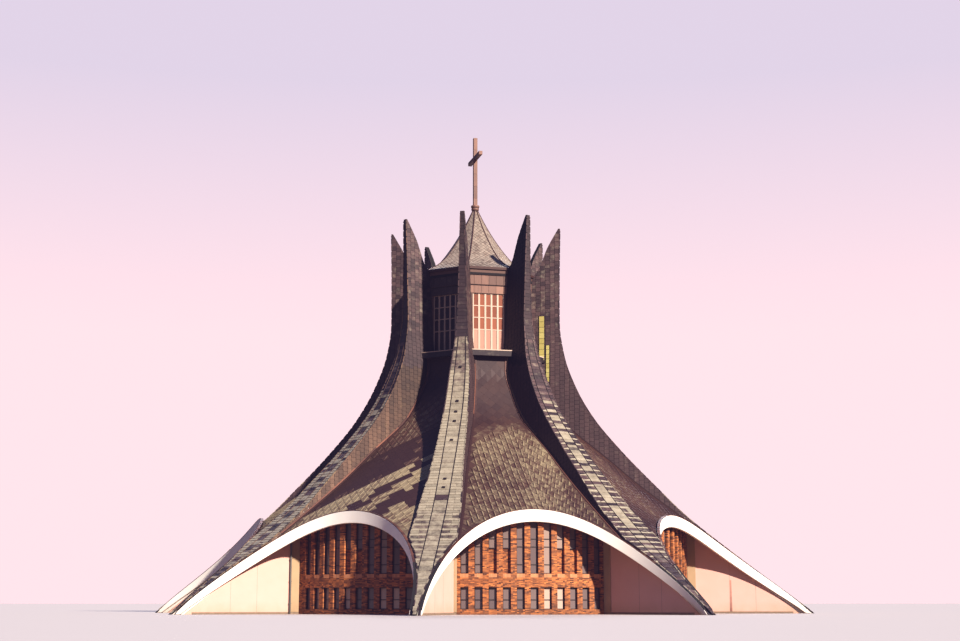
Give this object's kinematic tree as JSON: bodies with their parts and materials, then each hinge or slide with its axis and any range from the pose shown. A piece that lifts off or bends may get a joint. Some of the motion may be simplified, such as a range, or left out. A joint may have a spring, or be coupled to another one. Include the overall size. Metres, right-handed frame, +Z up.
{
  "type": "modern church building, 1:2 scale model",
  "caption": "Round modern church building with curved ribs sweeping up into fins around a glazed lantern, shingled roof, white arches and brick walls with slit windows.",
  "frame": {"origin": "on the upright axis at ground level", "axes": "+Z up, -Y out of the front bay, +X to the right seen from the front"},
  "size_m": [23.3434, 23.3434, 18.645],
  "materials": {
    "rib_cladding": "dark weathered copper sheet with green and cream patina, matt",
    "roof_shingles": "brown weathered copper shingles laid on the diagonal, satin",
    "white_render": "white painted render, matt",
    "brick": "orange-red facing brick, matt",
    "concrete": "floated concrete, matt",
    "window_glass": "dark clear window glass",
    "lantern_cladding": "brown weathered copper sheet, satin",
    "amber_glass": "amber and orange stained glass",
    "lantern_shingles": "tan and green weathered copper shingles, satin",
    "copper": "brown weathered copper sheet, satin"
  },
  "bodies": {
    "root": {"rib_1": "rib_cladding", "buttress_1": "white_render", "roof_bay_1": "roof_shingles", "arch_fascia_1": "white_render", "brick_wall_1": "brick", "rib_2": "rib_cladding", "buttress_2": "white_render", "roof_bay_2": "roof_shingles", "arch_fascia_2": "white_render", "brick_wall_2": "brick", "rib_3": "rib_cladding", "buttress_3": "white_render", "roof_bay_3": "roof_shingles", "arch_fascia_3": "white_render", "brick_wall_3": "brick", "rib_4": "rib_cladding", "buttress_4": "white_render", "roof_bay_4": "roof_shingles", "arch_fascia_4": "white_render", "brick_wall_4": "brick", "rib_5": "rib_cladding", "buttress_5": "white_render", "roof_bay_5": "roof_shingles", "arch_fascia_5": "white_render", "brick_wall_5": "brick", "rib_6": "rib_cladding", "buttress_6": "white_render", "roof_bay_6": "roof_shingles", "arch_fascia_6": "white_render", "brick_wall_6": "brick", "rib_7": "rib_cladding", "buttress_7": "white_render", "roof_bay_7": "roof_shingles", "arch_fascia_7": "white_render", "brick_wall_7": "brick", "rib_8": "rib_cladding", "buttress_8": "white_render", "roof_bay_8": "roof_shingles", "arch_fascia_8": "white_render", "brick_wall_8": "brick", "ground_floor": "concrete", "nave_floor": "concrete", "lower_window_glass": "window_glass", "upper_window_glass": "window_glass", "lantern_wall": "lantern_cladding", "lantern_glass": "amber_glass", "lantern_roof": "lantern_shingles", "cross": "copper"}
  },
  "joints": []
}
